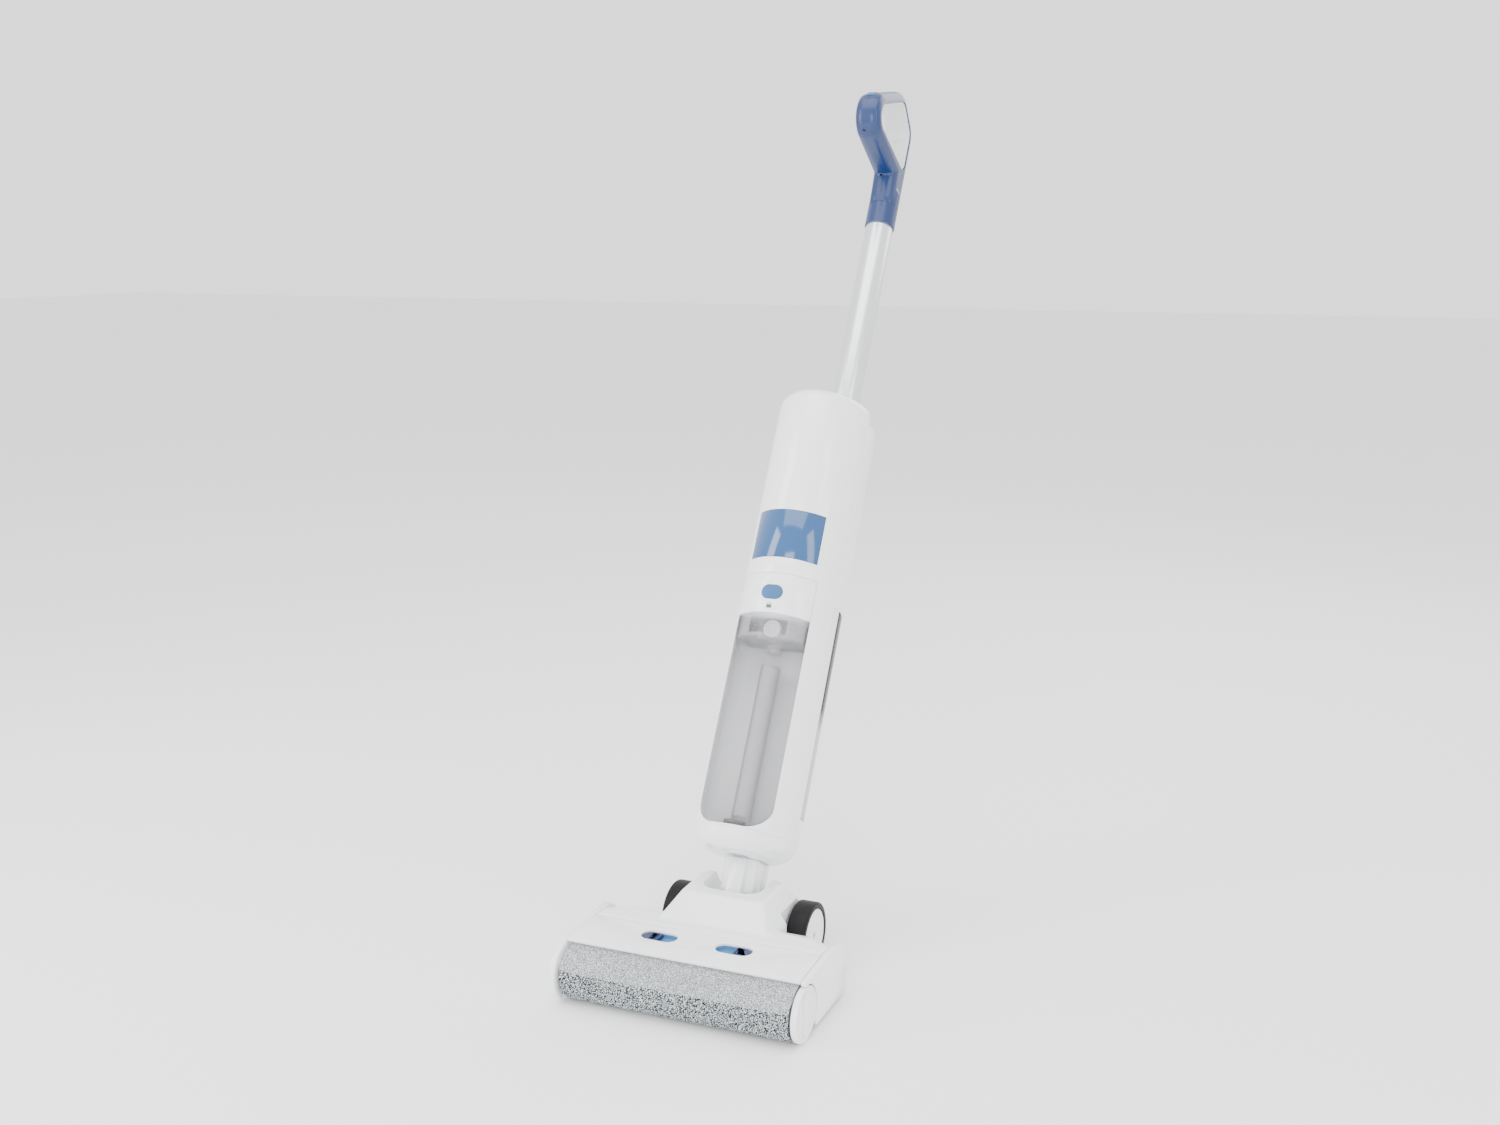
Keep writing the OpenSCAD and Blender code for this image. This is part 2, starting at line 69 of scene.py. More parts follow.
right = Vector((math.cos(view_turn), math.sin(view_turn), 0))
back = Vector((math.sin(view_turn) * math.cos(view_pitch), -math.cos(view_turn) * math.cos(view_pitch),
               math.sin(view_pitch)))
up = back.cross(right)
lens = bpy.data.cameras.new("camera")
lens.lens = focal_length
lens.sensor_width = sensor_width
camera = bpy.data.objects.new("camera", lens)
camera.matrix_world = Matrix((right, up, back)).transposed().to_4x4()
camera.location = (Vector((0, roller_centre.y, 0)) + right * view_slide + up * view_rise
                   + back * view_distance)
bpy.context.scene.collection.objects.link(camera)
bpy.context.scene.camera = camera


def soft_box(name, place, aim, size, power):
    lamp = bpy.data.lights.new(name, "AREA")
    lamp.shape = "RECTANGLE"
    lamp.size, lamp.size_y = size
    lamp.energy = power
    lamp_object = bpy.data.objects.new(name, lamp)
    lamp_object.location = place
    lamp_object.rotation_euler = (Vector(aim) - Vector(place)).to_track_quat("-Z", "Y").to_euler()
    bpy.context.scene.collection.objects.link(lamp_object)


soft_box("box_left", (-1.5, -1.3, 1.0), (0, 0, 0.45), (0.7, 1.9), 32)
soft_box("box_right", (1.9, -1.0, 1.1), (0, 0, 0.45), (0.6, 1.8), 16)
soft_box("box_top", (0, -0.5, 2.6), (0, 0, 0.3), (2.2, 1.8), 40)
soft_box("box_back", (0.6, 1.9, 1.6), (0, 0, 0.5), (1.6, 1.2), 16)
soft_box("box_front", (0.3, -2.1, 0.9), (0, 0, 0.35), (0.9, 1.2), 22)

world = bpy.data.worlds.new("studio")
bpy.context.scene.world = world
world.use_nodes = True
world.node_tree.nodes["Background"].inputs["Color"].default_value = (1, 1, 1, 1)
world.node_tree.nodes["Background"].inputs["Strength"].default_value = 1.8

floor_mesh = bpy.data.meshes.new("floor")
floor_half, floor_drop = 14, 0.2 * MM
floor_mesh.from_pydata([(x * floor_half, y * floor_half, 0) for x, y in ((-1, -1), (1, -1), (1, 1), (-1, 1))],
                       [], [(0, 1, 2, 3)])
floor = bpy.data.objects.new("floor", floor_mesh)
floor.location.z = cad_box[0][2] - floor_drop
bpy.context.scene.collection.objects.link(floor)
floor_paint = bpy.data.materials.new("floor paint")
floor_paint.use_nodes = True
floor_shader = floor_paint.node_tree.nodes["Principled BSDF"]
floor_shader.inputs["Base Color"].default_value = (0.9, 0.9, 0.9, 1)
floor_shader.inputs["Roughness"].default_value = 0.75
floor_mesh.materials.append(floor_paint)

# ---- White body shells ----
# The long front shell with the base cup, the rear shell and the panel over the dirty tank are gloss
# white ABS, injection moulded with 3 mm walls; the parting lines show as thin dark seams.
home = {node: body for body, nodes in frame["record"]["behaviour"]["bodies"].items() for node in nodes}


def moulding(name, colour, roughness, mottle=0.015, grain=2600, relief=0.02, coat=0.0, metallic=0.0,
             spread=0.04):
    """Plastic, rubber or metal: slow drifts of shade and gloss, and a fine surface grain."""
    material = bpy.data.materials.new(name)
    material.use_nodes = True
    nodes, links = material.node_tree.nodes, material.node_tree.links
    shader = nodes["Principled BSDF"]
    shader.inputs["Metallic"].default_value = metallic
    shader.inputs["Coat Weight"].default_value = coat
    shader.inputs["Coat Roughness"].default_value = 0.06
    place = nodes.new("ShaderNodeTexCoord")
    drift = nodes.new("ShaderNodeTexNoise")
    drift.inputs["Scale"].default_value = 9
    drift.inputs["Detail"].default_value = 5
    shade = nodes.new("ShaderNodeValToRGB")
    shade.color_ramp.elements[0].color = [*(c * (1 - mottle) for c in colour), 1]
    shade.color_ramp.elements[1].color = [*(min(1, c * (1 + mottle)) for c in colour), 1]
    gloss = nodes.new("ShaderNodeMapRange")
    gloss.inputs["To Min"].default_value = max(0.02, roughness - spread)
    gloss.inputs["To Max"].default_value = roughness + spread
    texture = nodes.new("ShaderNodeTexNoise")
    texture.inputs["Scale"].default_value = grain
    bump = nodes.new("ShaderNodeBump")
    bump.inputs["Strength"].default_value = relief
    bump.inputs["Distance"].default_value = 0.2 * MM
    links.new(place.outputs["Object"], drift.inputs["Vector"])
    links.new(place.outputs["Object"], texture.inputs["Vector"])
    links.new(drift.outputs["Fac"], shade.inputs["Fac"])
    links.new(drift.outputs["Fac"], gloss.inputs["Value"])
    links.new(shade.outputs["Color"], shader.inputs["Base Color"])
    links.new(gloss.outputs["Result"], shader.inputs["Roughness"])
    links.new(texture.outputs["Fac"], bump.inputs["Height"])
    links.new(bump.outputs["Normal"], shader.inputs["Normal"])
    return material


def settle(piece, crease=32):
    """Turns the piece's modifiers into its mesh and shades it smooth between real edges."""
    graph = bpy.context.evaluated_depsgraph_get()
    made = bpy.data.meshes.new_from_object(piece.evaluated_get(graph))
    piece.modifiers.clear()
    piece.data = made
    made.shade_smooth()
    made.set_sharp_from_angle(angle=math.radians(crease))
    return piece


def fit(piece, material, *nodes):
    """The piece stands for these nodes: it takes their place on the machine, and their finish."""
    piece.data.materials.clear()
    piece.data.materials.append(material)
    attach(piece, home[nodes[0]])
    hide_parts(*nodes)
    return piece


def new_piece(name, mesh):
    piece = bpy.data.objects.new(name, mesh)
    bpy.context.scene.collection.objects.link(piece)
    return piece


def eased(node, material, edge=0.5, segments=2):
    """The node's own solid with its edges eased by a small radius, in millimetres, as moulded."""
    weld_gap, flat_angle, edge_angle = 0.002 * MM, math.radians(0.5), math.radians(34)
    mesh = frame["nodes"][node].data.copy()
    work = bmesh.new()
    work.from_mesh(mesh)
    bmesh.ops.remove_doubles(work, verts=work.verts, dist=weld_gap)
    bmesh.ops.dissolve_limit(work, angle_limit=flat_angle, verts=work.verts, edges=work.edges)
    work.to_mesh(mesh)
    work.free()
    piece = new_piece(node + "_made", mesh)
    if edge:
        bevel = piece.modifiers.new("eased edges", "BEVEL")
        bevel.width = edge * MM
        bevel.segments = segments
        bevel.limit_method = "ANGLE"
        bevel.angle_limit = edge_angle
        bevel.use_clamp_overlap = False
    return fit(settle(piece), material, node)


gloss_white = moulding("gloss white", (0.84, 0.85, 0.87), 0.2, coat=0.35, relief=0.01)
for node in ("main_housing", "rear_shell", "tank_panel"):
    eased(node, gloss_white)

# ---- Display window and board ----
# A blue polycarbonate window lies flush in the front shell.
# The green circuit board that carries its lamps stands behind it.
display_blue = moulding("display blue", (0.011, 0.07, 0.2), 0.12, coat=0.6, relief=0.004)
eased("display_lens", display_blue, 0.3)
eased("display_board", moulding("circuit green", (0.02, 0.16, 0.07), 0.4), 0.2)

# ---- Dirty water tank ----
# A clear SAN jar with a faint violet cast. The frosted lid with its float seat and filter knob sits in
# the top, the suction pipe stands in the middle and a black seal rings the inlet at the bottom.


def clear_plastic(name, colour, roughness, opacity):
    """Clear moulded plastic: thin colour, and a surface that still takes the light."""
    material = moulding(name, colour, roughness, relief=0.006, coat=0.3, spread=0.02)
    shader = material.node_tree.nodes["Principled BSDF"]
    shader.inputs["Alpha"].default_value = opacity
    return material


jar_clear = clear_plastic("jar clear", (0.9, 0.9, 0.95), 0.06, 0.05)
frosted = clear_plastic("frosted", (0.74, 0.74, 0.8), 0.24, 0.16)
knob_frosted = clear_plastic("knob frosted", (0.66, 0.66, 0.72), 0.3, 0.6)
black_rubber = moulding("black rubber", (0.012, 0.012, 0.013), 0.55, mottle=0.2, relief=0.15)
eased("dirty_tank", jar_clear, 0.6)
for node in ("tank_lid", "inlet_pipe", "float_ball"):
    eased(node, frosted, 0.4)
eased("filter_knob", knob_frosted, 0.8, 3)
eased("inlet_seal", black_rubber, 0.4)
button_blue = moulding("button blue", (0.02, 0.095, 0.23), 0.4, relief=0.05)
eased("release_button", button_blue, 1.0, 3)

# ---- Lock symbol ----
# A small plain padlock is printed in dark grey under the release button, on the curved panel.
# It is a thin shape laid just clear of the panel. It rides with the button here, though the real mark
# stays on the panel when the button is pressed.
hinge = Vector(joints["body_recline"]["pos_m"])
body_up = Vector(joints["fan_spin"]["axis"])
body_back = Vector(joints["body_roll"]["axis"])
panel_half, panel_depth, ink_lift = 57, 70, 0.12


def in_body(x, y, z):
    """A point of the upright body, in millimetres right of, behind and above the tilt hinge."""
    return hinge + (Vector((1, 0, 0)) * x + body_back * y + body_up * z) * MM


def on_panel(x, z):
    """A point just clear of the panel's curved front."""
    return in_body(x, -(panel_depth + ink_lift) * math.sqrt(1 - (x / panel_half) ** 2), z)


lock_z, lock_w, lock_h = 321.2, 2.9, 4.0
shackle_r, stroke = 1.7, 0.6
shackle_z = lock_z + lock_h + 0.4
lock = bmesh.new()
body_corners = [lock.verts.new(on_panel(x, z)) for x, z in
                ((-lock_w, lock_z), (lock_w, lock_z), (lock_w, lock_z + lock_h), (-lock_w, lock_z + lock_h))]
lock.faces.new(body_corners)
arc = [(math.cos(math.radians(t)), math.sin(math.radians(t))) for t in range(0, 181, 20)]
inner, outer = [[lock.verts.new(on_panel(c * r, shackle_z + s * r)) for c, s in arc]
                for r in (shackle_r, shackle_r + stroke)]
for step in range(len(arc) - 1):
    lock.faces.new((inner[step], outer[step], outer[step + 1], inner[step + 1]))
lock_mesh = bpy.data.meshes.new("lock_symbol")
lock.normal_update()
lock.to_mesh(lock_mesh)
lock.free()
lock_symbol = new_piece("lock_symbol", lock_mesh)
lock_mesh.materials.append(moulding("printing ink", (0.09, 0.09, 0.1), 0.5))
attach(lock_symbol, home["release_button"])

# ---- Clean water tank ----
# The rear tank is one moulding of smoked plastic. Its colour is painted near black at the top and pale below, and
# the dark top is a painted reflection.
# Its filler stopper is black plastic and pulls out to the rear.
smoked = clear_plastic("smoked", (0.33, 0.33, 0.36), 0.25, 0.82)
# The band up the body, in millimetres above the hinge, where the painted reflection darkens the tank.
painted_reflection_low, painted_reflection_high = 205 * MM, 232 * MM
smoke = smoked.node_tree
smoke_shader = smoke.nodes["Principled BSDF"]
smoke_shader.inputs["Coat Weight"].default_value = 0
smoke_shader.inputs["Specular IOR Level"].default_value = 0.15
height_up = smoke.nodes.new("ShaderNodeVectorMath")
height_up.operation = "DOT_PRODUCT"
height_up.inputs[1].default_value = body_up
depth = smoke.nodes.new("ShaderNodeMapRange")
depth.inputs["From Min"].default_value = hinge.dot(body_up) + painted_reflection_low
depth.inputs["From Max"].default_value = hinge.dot(body_up) + painted_reflection_high
# The painted reflection: pale below, near black above, set by height along the body.
painted_reflection_ramp = smoke.nodes.new("ShaderNodeValToRGB")
painted_reflection_ramp.color_ramp.elements[0].color = (0.55, 0.55, 0.58, 1)
painted_reflection_ramp.color_ramp.elements[1].color = (0.012, 0.012, 0.016, 1)
smoke.links.new(smoke.nodes["Texture Coordinate"].outputs["Object"], height_up.inputs[0])
smoke.links.new(height_up.outputs["Value"], depth.inputs["Value"])
smoke.links.new(depth.outputs["Result"], painted_reflection_ramp.inputs["Fac"])
smoke.links.new(painted_reflection_ramp.outputs["Color"], smoke_shader.inputs["Base Color"])
eased("clean_tank", smoked, 0.6)
dark_plastic = moulding("dark plastic", (0.02, 0.02, 0.022), 0.45, mottle=0.1, relief=0.08)
eased("clean_tank_cap", dark_plastic, 0.8)

# ---- Inside the body ----
# The battery pack, the fan and its motor, the water pump and the exhaust filter.
# They are plain plastic, steel and felt, and hidden while the shells and tanks are in place.
steel = moulding("steel", (0.55, 0.55, 0.56), 0.3, metallic=1.0, mottle=0.05)
grey_plastic = moulding("grey plastic", (0.2, 0.21, 0.22), 0.5)
inner_white = moulding("inner white", (0.78, 0.79, 0.81), 0.42)
eased("battery_case", dark_plastic)
eased("battery_cells", moulding("cell sleeve blue", (0.03, 0.1, 0.4), 0.35))
eased("motor_housing", grey_plastic)
eased("suction_motor", steel)
eased("fan_impeller", inner_white, 0.2)
eased("water_pump", dark_plastic)
eased("exhaust_filter", moulding("filter felt", (0.7, 0.69, 0.64), 0.9, mottle=0.08, relief=0.4), 0)

# ---- Tube and handle ----
# A satin anodised aluminium tube runs up from the rear shell into the blue two-part handle, which
# is screwed together round it. A cover strip closes the front, and a light grey soft lining clips
# into the inside of the loop. The loop's ends are given as (forward, up, radius).
tube_satin = moulding("tube satin", (0.74, 0.76, 0.78), 0.28, metallic=0.85, mottle=0.03)
handle_blue = moulding("handle blue", (0.004, 0.022, 0.1), 0.34, mottle=0.04, relief=0.05, coat=0.1)
lining_grey = moulding("lining grey", (0.6, 0.61, 0.62), 0.55, mottle=0.03, relief=0.12)
eased("tube", tube_satin, 0.3)
tube_radius, tube_back, tube_end = 17, 42, 886
collar_radius, collar_bottom, collar_top, collar_root = 18.6, 856, 884, 905
grip_half, grip_round = 16, 9
grip_voxel, grip_rounds = 1.3, 10


def hulls(name, groups):
    """One mesh holding the convex hull of each group of points."""
    work = bmesh.new()
    for group in groups:
        corners = [work.verts.new(point) for point in group]
        shell = bmesh.ops.convex_hull(work, input=corners)
        bmesh.ops.delete(work, geom=[v for v in shell["geom_interior"] if v.is_valid], context="VERTS")
    bmesh.ops.recalc_face_normals(work, faces=work.faces)
    mesh = bpy.data.meshes.new(name)
    work.to_mesh(mesh)
    work.free()
    return new_piece(name, mesh)


def circle(radius, steps):
    """Points of a circle as pairs."""
    return [(radius * math.cos(math.tau * k / steps), radius * math.sin(math.tau * k / steps))
            for k in range(steps)]


def melted(piece, voxel, rounds):
    """Fuses the hulls into one skin and draws the corners into soft blends."""
    remesh = piece.modifiers.new("fuse", "REMESH")
    remesh.mode = "VOXEL"
    remesh.voxel_size = voxel * MM
    soften = piece.modifiers.new("soften", "SMOOTH")
    soften.factor = 0.5
    soften.iterations = rounds
    return settle(piece)


def worked(piece, operation, *tools):
    """Cuts the tools out of the piece, or keeps what they share, and throws the tools away."""
    for tool in tools:
        cut = piece.modifiers.new("cut", "BOOLEAN")
        cut.operation = operation
        cut.solver = "EXACT"
        cut.object = tool
    settle(piece)
    for tool in tools:
        bpy.data.objects.remove(tool)
    return piece


def disc(d, h, r, half, round_edge=0.0, steps=40):
    """Points of one round end of the handle: a disc in its plane, with rounded rims."""
    points = []
    for across, shrink in ((half, 1.0), (half - 0.3 * round_edge, 0.3), (half - round_edge, 0.0)):
        for side in (-1, 1):
            points += [in_body(side * across, -d - ahead, h + above)
                       for ahead, above in circle(r - shrink * round_edge, steps)]
    return points


loop_ends = ((48, 955, 30), (-6, 993, 30), (-33, 984, 27), (-40, 940, 21))
eye_ends = ((48, 955, 17), (-7, 992, 19), (-31, 983, 17), (-35, 950, 13))
wrist = (-tube_back, 893, 19)
grip = melted(hulls("grip", [
    [p for end in loop_ends for p in disc(*end, grip_half, grip_round)],
    disc(*loop_ends[3], grip_half, grip_round) + disc(*wrist, grip_half, grip_round),
    [in_body(x, tube_back + y, z) for x, y in circle(collar_radius, 48)
     for z in (collar_bottom - 3, collar_root)]]), grip_voxel, grip_rounds)
worked(grip, "DIFFERENCE",
       hulls("eye", [[p for end in eye_ends for p in disc(*end, 40)]]),
       hulls("tube bore", [[in_body(x, tube_back + y, z) for x, y in circle(tube_radius, 64)
                            for z in (collar_bottom - 20, tube_end)]]),
       hulls("collar foot", [[in_body(x, tube_back + y, z) for x in (-30, 30) for y in (-30, 30)
                              for z in (collar_bottom - 30, collar_bottom)]]))


def halved(piece, name, spot, way):
    """The part of the piece ahead of a plane, closed over, and short of it by a hairline seam."""
    seam = 0.12 * MM
    part = new_piece(name, piece.data.copy())
    work = bmesh.new()
    work.from_mesh(part.data)
    cut = bmesh.ops.bisect_plane(work, geom=work.verts[:] + work.edges[:] + work.faces[:],
                                 plane_co=spot + way * seam, plane_no=way, clear_inner=True)
    bmesh.ops.triangle_fill(work, edges=[e for e in cut["geom_cut"] if isinstance(e, bmesh.types.BMEdge)],
                            use_beauty=True, normal=-way)
    work.to_mesh(part.data)
    work.free()
    return settle(part)


seam_point = in_body(0, tube_back, collar_top)
upper_grip = halved(grip, "upper grip", seam_point, body_up)
fit(halved(grip, "tube_collar_made", seam_point, -body_up), handle_blue, "tube_collar")
strip_half, strip_thick = 9.8, 2.5
strip_tool = hulls("strip", [[in_body(x, -d, h) for x in (-strip_half, strip_half)
                              for d, h in ((48, 955), (108, 963), (108, 895), (-10, 880))]])
worked(strip_tool, "DIFFERENCE",
       hulls("strip core", [[p for d, h, r in loop_ends for p in disc(d, h, r - strip_thick, 20)]]))
screw_radius, screw_depth, screw_side = 1.8, 1.6, -3
screw_spots = ((63, 929, math.radians(-60)), (-22, 921.6, math.radians(-80)))


def screw_disc(d, h, lean, depth, steps=20):
    """Points of a small disc across a screw's axis, this deep in the front of the handle."""
    ahead, above = d + depth * math.cos(lean), h + depth * math.sin(lean)
    return [in_body(screw_side + x, math.sin(lean) * y - ahead, above + math.cos(lean) * y)
            for x, y in circle(screw_radius, steps)]


worked(upper_grip, "DIFFERENCE",
       *[hulls("screw hole", [screw_disc(*spot, -screw_depth - 1) + screw_disc(*spot, 4)])
         for spot in screw_spots])
# A dark disc sits at the bottom of each screw hole as painted shade, darkening the hole where shade falls.
for count, spot in enumerate(screw_spots):
    screw = hulls(f"handle_screw_shade_{count + 1}",
                  [screw_disc(*spot, -screw_depth - 0.8) + screw_disc(*spot, -screw_depth)])
    screw.data.materials.append(dark_plastic)
    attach(screw, home["handle_cover"])
cover_piece = new_piece("handle_cover_made", upper_grip.data.copy())
strip_copy = new_piece("strip copy", strip_tool.data.copy())
fit(worked(cover_piece, "INTERSECT", strip_copy), handle_blue, "handle_cover")
worked(upper_grip, "DIFFERENCE", strip_tool)
for side, way in (("left", Vector((-1, 0, 0))), ("right", Vector((1, 0, 0)))):
    fit(halved(upper_grip, "handle_" + side + "_made", seam_point, way), handle_blue, "handle_" + side)
for spare in (grip, upper_grip):
    bpy.data.objects.remove(spare)
eased("grip_lining", lining_grey, 0.8, 3)
for node in ("power_button", "mode_button"):
    eased(node, button_blue, 0.5)

# ---- Neck ----
# The white neck socket carries the body on a steel pin through the dark yoke, which rocks in the head;
# a corrugated black hose runs down beside it to the suction duct.
eased("neck_socket", gloss_white, 2, 3)
eased("neck_yoke", dark_plastic, 0.6)
for node in ("hinge_pins", "roll_pin"):
    eased(node, steel, 0.3)
eased("water_hose", moulding("hose black", (0.015, 0.015, 0.016), 0.38), 0.9)

# ---- Floor head ----
# The head's top is one white moulding: a flat deck with a rounded rear edge, and a hump that carries the
# neck and is cut away over the wheels. It is screwed to the base from below; side panels close the ends.
deck_half, deck_short, deck_front, deck_top, deck_foot = 129, 104, 58.4, 67, 7
deck_side_reach, deck_reach, hump_top = 97, 112.5, 91
head_voxel, head_rounds = 1.6, 14


def in_head(x, y, z):
    """A point of the floor head, in millimetres right of, behind and above the roller's middle."""
    return Vector((x, y, z)) * MM + Vector((0, roller_centre.y, 0))


def box_points(lo, hi):
    """The eight corners of a box in the floor head."""
    return [in_head(x, y, z) for x in (lo[0], hi[0]) for y in (lo[1], hi[1]) for z in (lo[2], hi[2])]


def deck(half, reach):
    """The deck's profile from front to back at this half width, with the rear edge rounded down."""
    return [in_head(side * half, y, z) for side in (-1, 1)
            for y, z in ((deck_front, deck_top), (reach - 24, deck_top - 0.6), (reach - 12, deck_top - 4),
                         (reach - 4, deck_top - 12), (reach, deck_top - 23), (reach, deck_foot),
                         (deck_front, deck_foot))]


head = melted(hulls("head_top_made", [
    deck(deck_half, deck_side_reach) + deck(deck_short, deck_reach),
    box_points((-66, 70, 44), (66, 176, 62)) + box_points((-58, 84, 44), (58, 186, 58))
    + box_points((-47, 105, hump_top - 3), (47, 158, hump_top))
    + box_points((-42, 101, hump_top - 3), (42, 163, hump_top))]), head_voxel, head_rounds)
slot_half, slot_radius, slot_front = 34, 16, 116
quarter = [math.radians(t) for t in range(180, 361, 15)]
mouth = [(slot_radius * math.cos(t), slot_front + slot_radius + slot_radius * math.sin(t)) for t in quarter]
worked(head, "DIFFERENCE",
       hulls("neck slot", [[in_head(x + side * (slot_half - slot_radius), y, z) for side in (-1, 1)
                            for x, y in mouth + [(-slot_radius, 220), (slot_radius, 220)]
                            for z in (0, 130)]]),
       hulls("hollow", [[in_head(x, y, z) for x in (-125, 125) for y in (50, 92) for z in (0, 63.5)]
                        + [in_head(x, 108, z) for x in (-100, 100) for z in (0, 52)]]),
       hulls("left arch", [box_points((-90, 121, 20), (-59, 210, 78))]),
       hulls("right arch", [box_points((59, 121, 20), (90, 210, 78))]),
       hulls("yoke room", [box_points((-41, 96, 40), (41, 118, 84))]))
fit(head, gloss_white, "head_top")
eased("head_base", inner_white, 0.4)
for node in ("side_panel_left", "side_panel_right"):
    eased(node, gloss_white, 1.6, 3)
for node in ("brush_motor", "wheel_axles", "head_screws", "latch_springs"):
    eased(node, steel, 0.2)
eased("suction_duct", grey_plastic)
for node in ("drive_belt", "scraper_strip", "cap_seal"):
    eased(node, black_rubber, 0.2)
pulley = moulding("pulley nylon", (0.5, 0.47, 0.38), 0.5)
for node in ("drive_pulley", "motor_pulley"):
    eased(node, pulley, 0.3)

# ---- Roller cover ----
# The white cover lifts off the head. A clear lip curves down over the front of the roller, and two
# dark blue latch sliders run in recessed blue plates.
eased("roller_cover", gloss_white, 0.8)
eased("splash_guard", clear_plastic("guard clear", (0.88, 0.91, 0.96), 0.1, 0.1), 0.3)
eased("latch_plates", moulding("recess blue", (0.05, 0.16, 0.36), 0.35), 0.5)
slider_blue = moulding("slider blue", (0.003, 0.014, 0.075), 0.35)
for node in ("latch_slider_left", "latch_slider_right"):
    eased(node, slider_blue, 1, 3)

# ---- Roller ----
# The roller is a plastic tube in a sleeve of short grey and white microfibre pile. A white end cap with a
# grip ridge across it plugs into the tube and lets the roller be drawn out sideways.


def wrapped(work, rings):
    """Joins rings of points into a skin, and the last ring back to the first."""
    steps = len(rings[0])
    for near, far in zip(rings, rings[1:] + rings[:1]):
        for k in range(steps):
            work.faces.new((near[k], near[(k + 1) % steps], far[(k + 1) % steps], far[k]))


def turned(name, profile, centre, material, nodes, steps=96, extra=None):
    """A piece turned about the X axis from (along, radius) points, in millimetres from its centre."""
    work = bmesh.new()
    wrapped(work, [[work.verts.new(centre + Vector((along, y, z)) * MM) for y, z in circle(radius, steps)]
                   for along, radius in profile])
    bmesh.ops.remove_doubles(work, verts=work.verts, dist=1e-6)
    if extra:
        work.from_mesh(extra)
    bmesh.ops.recalc_face_normals(work, faces=work.faces)
    mesh = bpy.data.meshes.new(name)
    work.to_mesh(mesh)
    work.free()
    return fit(settle(new_piece(name, mesh)), material, *nodes)


pile_radius, pile_depth, sleeve_bore, sleeve_half = 29, 1.7, 22, 126
tufts_round, tufts_along, tuft_stray, end_trim = 160, 252, 0.7, 0.5
dice = random.Random(11)
pile = bmesh.new()
rows = []
for row in range(tufts_along + 1):
    x = -sleeve_half + 2 * sleeve_half * row / tufts_along
    trimmed = end_trim if row in (0, tufts_along) else 0
    tufts = []
    for k in range(tufts_round):
        radius = pile_radius - trimmed - pile_depth * dice.random() ** 1.5
        angle = math.tau * (k + tuft_stray * (dice.random() - 0.5)) / tufts_round
        tip = Vector((x, radius * math.cos(angle), radius * math.sin(angle)))
        tufts.append(pile.verts.new(roller_centre + tip * MM))
    rows.append(tufts)
rows += [[pile.verts.new(roller_centre + Vector((x, y, z)) * MM) for y, z in circle(sleeve_bore, tufts_round)]
         for x in (sleeve_half, -sleeve_half)]
wrapped(pile, rows)
bmesh.ops.recalc_face_normals(pile, faces=pile.faces)
pile_mesh = bpy.data.meshes.new("roller_sleeve_made")
pile.to_mesh(pile_mesh)
pile.free()
microfibre = moulding("microfibre", (0.4, 0.44, 0.46), 0.9, grain=900, relief=0.7)
weave = microfibre.node_tree
speckle = weave.nodes.new("ShaderNodeTexNoise")
speckle.inputs["Scale"].default_value = 900
speckle.inputs["Detail"].default_value = 0
yarns = weave.nodes.new("ShaderNodeValToRGB")
yarns.color_ramp.elements[0].position = 0.46
yarns.color_ramp.elements[0].color = (0.0015, 0.0025, 0.004, 1)
yarns.color_ramp.elements[1].position = 0.58
yarns.color_ramp.elements[1].color = (0.55, 0.6, 0.62, 1)
middle = yarns.color_ramp.elements.new(0.5)
middle.color = (0.035, 0.046, 0.05, 1)
weave.links.new(weave.nodes["Texture Coordinate"].outputs["Object"], speckle.inputs["Vector"])
weave.links.new(speckle.outputs["Fac"], yarns.inputs["Fac"])
weave.links.new(yarns.outputs["Color"], weave.nodes["Principled BSDF"].inputs["Base Color"])
weave.nodes["Principled BSDF"].inputs["Sheen Weight"].default_value = 0.03
pile_piece = new_piece("roller_sleeve_made", pile_mesh)
pile_mesh.shade_flat()
fit(pile_piece, microfibre, "roller_sleeve")
eased("roller_core", grey_plastic, 0.4)

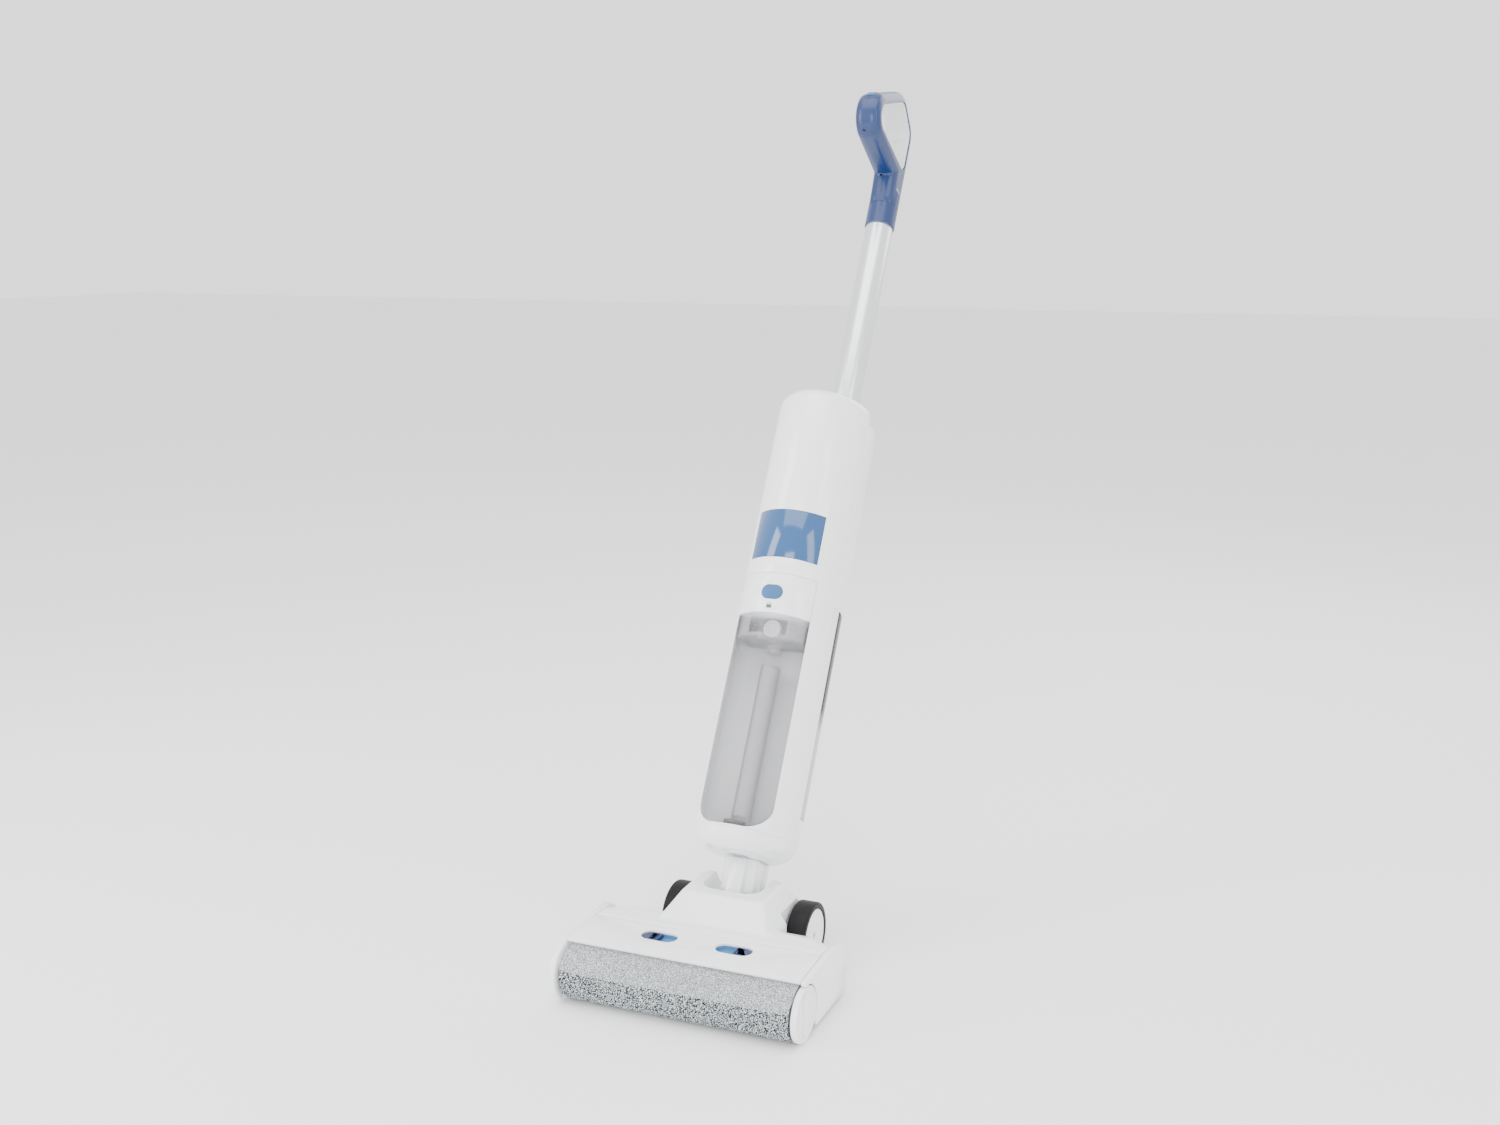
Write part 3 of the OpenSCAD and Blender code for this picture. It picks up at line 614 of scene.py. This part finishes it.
cap_out, ridge_half, ridge_long = 135, 4, 22
ridge_levels = ((cap_out - 3, 1), (cap_out + 0.2, 1), (cap_out + 1, 0.72))
ridge = hulls("ridge", [[
    roller_centre + Vector((x, y * spread, z * spread + end * (ridge_long - ridge_half))) * MM
    for end in (-1, 1) for x, spread in ridge_levels for y, z in circle(ridge_half, 24)]])
cap_profile = ((102, 0), (102, 5), (128.6, 5), (128.6, 28), (129.2, 28.5), (133.6, 28.5), (134.6, 28.1),
               (cap_out, 27.2), (cap_out, 25), (134.6, 24.2), (133, 23.4), (132.8, 22), (133.2, 14),
               (133.3, 0))
turned("roller_cap_made", cap_profile, roller_centre, gloss_white, ["roller_cap"], extra=ridge.data)
bpy.data.objects.remove(ridge)

# ---- Wheels ----
# Two rear wheels run free on steel axles. Each is a white dished hub with a black rubber tyre that has
# rounded shoulders.
tyre_rubber = moulding("tyre rubber", (0.0025, 0.0025, 0.003), 0.5, mottle=0.15, relief=0.1)
tyre_rubber.node_tree.nodes["Principled BSDF"].inputs["Specular IOR Level"].default_value = 0.2
tread_radius, rim_radius, axle_radius, shoulder = 36, 29, 4.1, 3
inner_face, outer_face = 62, 84
crown = tread_radius - shoulder
curve = [math.radians(t) for t in range(0, 91, 15)]
for side, sign in (("left", -1), ("right", 1)):
    wheel_centre = Vector(joints[side + "_wheel_spin"]["pos_m"])
    wheel_centre.x = 0
    tyre = [(inner_face, rim_radius)]
    tyre += [(inner_face + shoulder - shoulder * math.cos(t), crown + shoulder * math.sin(t)) for t in curve]
    tyre += [(outer_face - shoulder + shoulder * math.sin(t), crown + shoulder * math.cos(t)) for t in curve]
    tyre += [(outer_face, rim_radius + 0.8), (outer_face - 0.8, rim_radius)]
    turned(side + "_tyre_made", [(sign * x, r) for x, r in tyre], wheel_centre, tyre_rubber, [side + "_tyre"])
    hub = [(inner_face + 1, axle_radius), (inner_face + 1, rim_radius - 1), (inner_face + 2, rim_radius),
           (outer_face - 1.6, rim_radius), (outer_face - 0.8, rim_radius - 0.8),
           (outer_face - 0.8, rim_radius - 3), (outer_face - 2, rim_radius - 4.2), (outer_face - 2.6, 10),
           (outer_face - 1.2, 8.6), (outer_face - 1.2, axle_radius)]
    turned(side + "_hub_made", [(sign * x, r) for x, r in hub], wheel_centre, gloss_white, [side + "_hub"])
